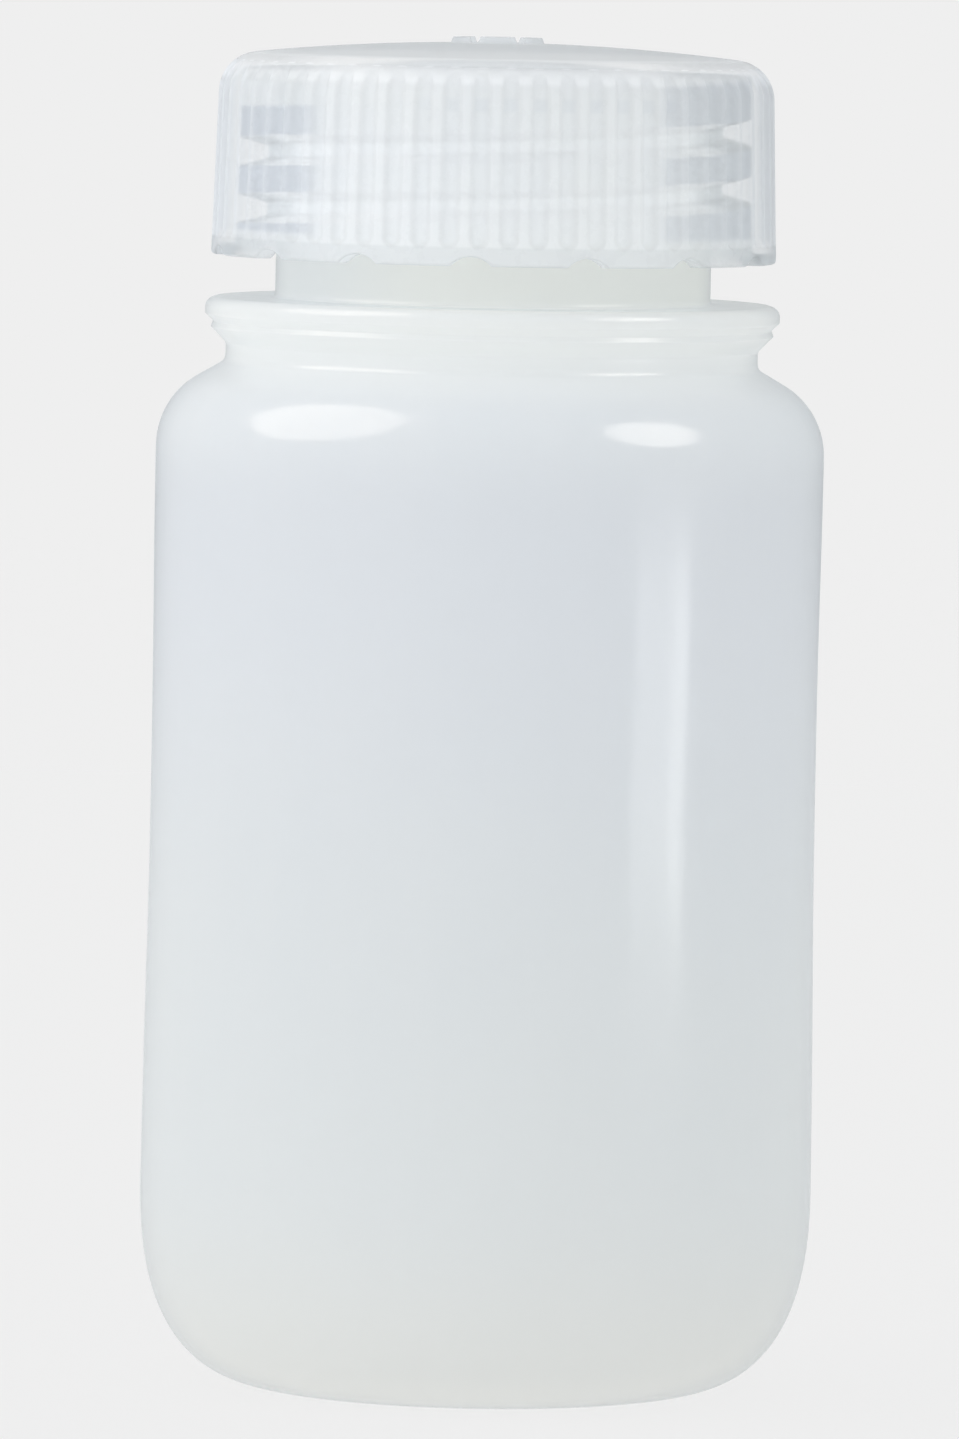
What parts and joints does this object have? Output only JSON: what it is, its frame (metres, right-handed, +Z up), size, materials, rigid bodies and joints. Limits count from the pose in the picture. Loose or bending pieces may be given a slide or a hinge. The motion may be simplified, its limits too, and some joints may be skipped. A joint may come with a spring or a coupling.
{
  "type": "wide-mouth reagent bottle",
  "caption": "Round translucent wide-mouth plastic reagent bottle with a soft heel, a sloped shoulder, a neck flange and a ribbed screw cap that unscrews and lifts clear with its sealing liner.",
  "frame": {"origin": "centre of the resting ring under the base, on the bottle's axis", "axes": "+Z up along the bottle's axis, from the base to the cap; -Y is the front"},
  "size_m": [0.05, 0.05, 0.1005],
  "materials": {
    "bottle_plastic": "satin, natural milky translucent polyolefin",
    "cap_plastic": "satin, natural translucent polypropylene",
    "liner_foam": "matte, white closed-cell sealing foam"
  },
  "bodies": {
    "bottle": {"bottle": "bottle_plastic"},
    "liner": {"cap_liner": "liner_foam"},
    "cap": {"screw_cap": "cap_plastic"}
  },
  "joints": [
    {"name": "cap_lift", "type": "slide", "parent": "bottle", "child": "liner", "axis": [0, 0, 1], "range_m": [0, 0.015]},
    {"name": "cap_turn", "type": "hinge", "parent": "liner", "child": "cap", "pos_m": [0, 0, 0.0975], "axis": [0, 0, 1], "range_deg": [0, 1260]}
  ],
  "couplings": [
    {"joint": "cap_lift", "follows": "cap_turn", "m_per_rad": 0.00067376}
  ]
}
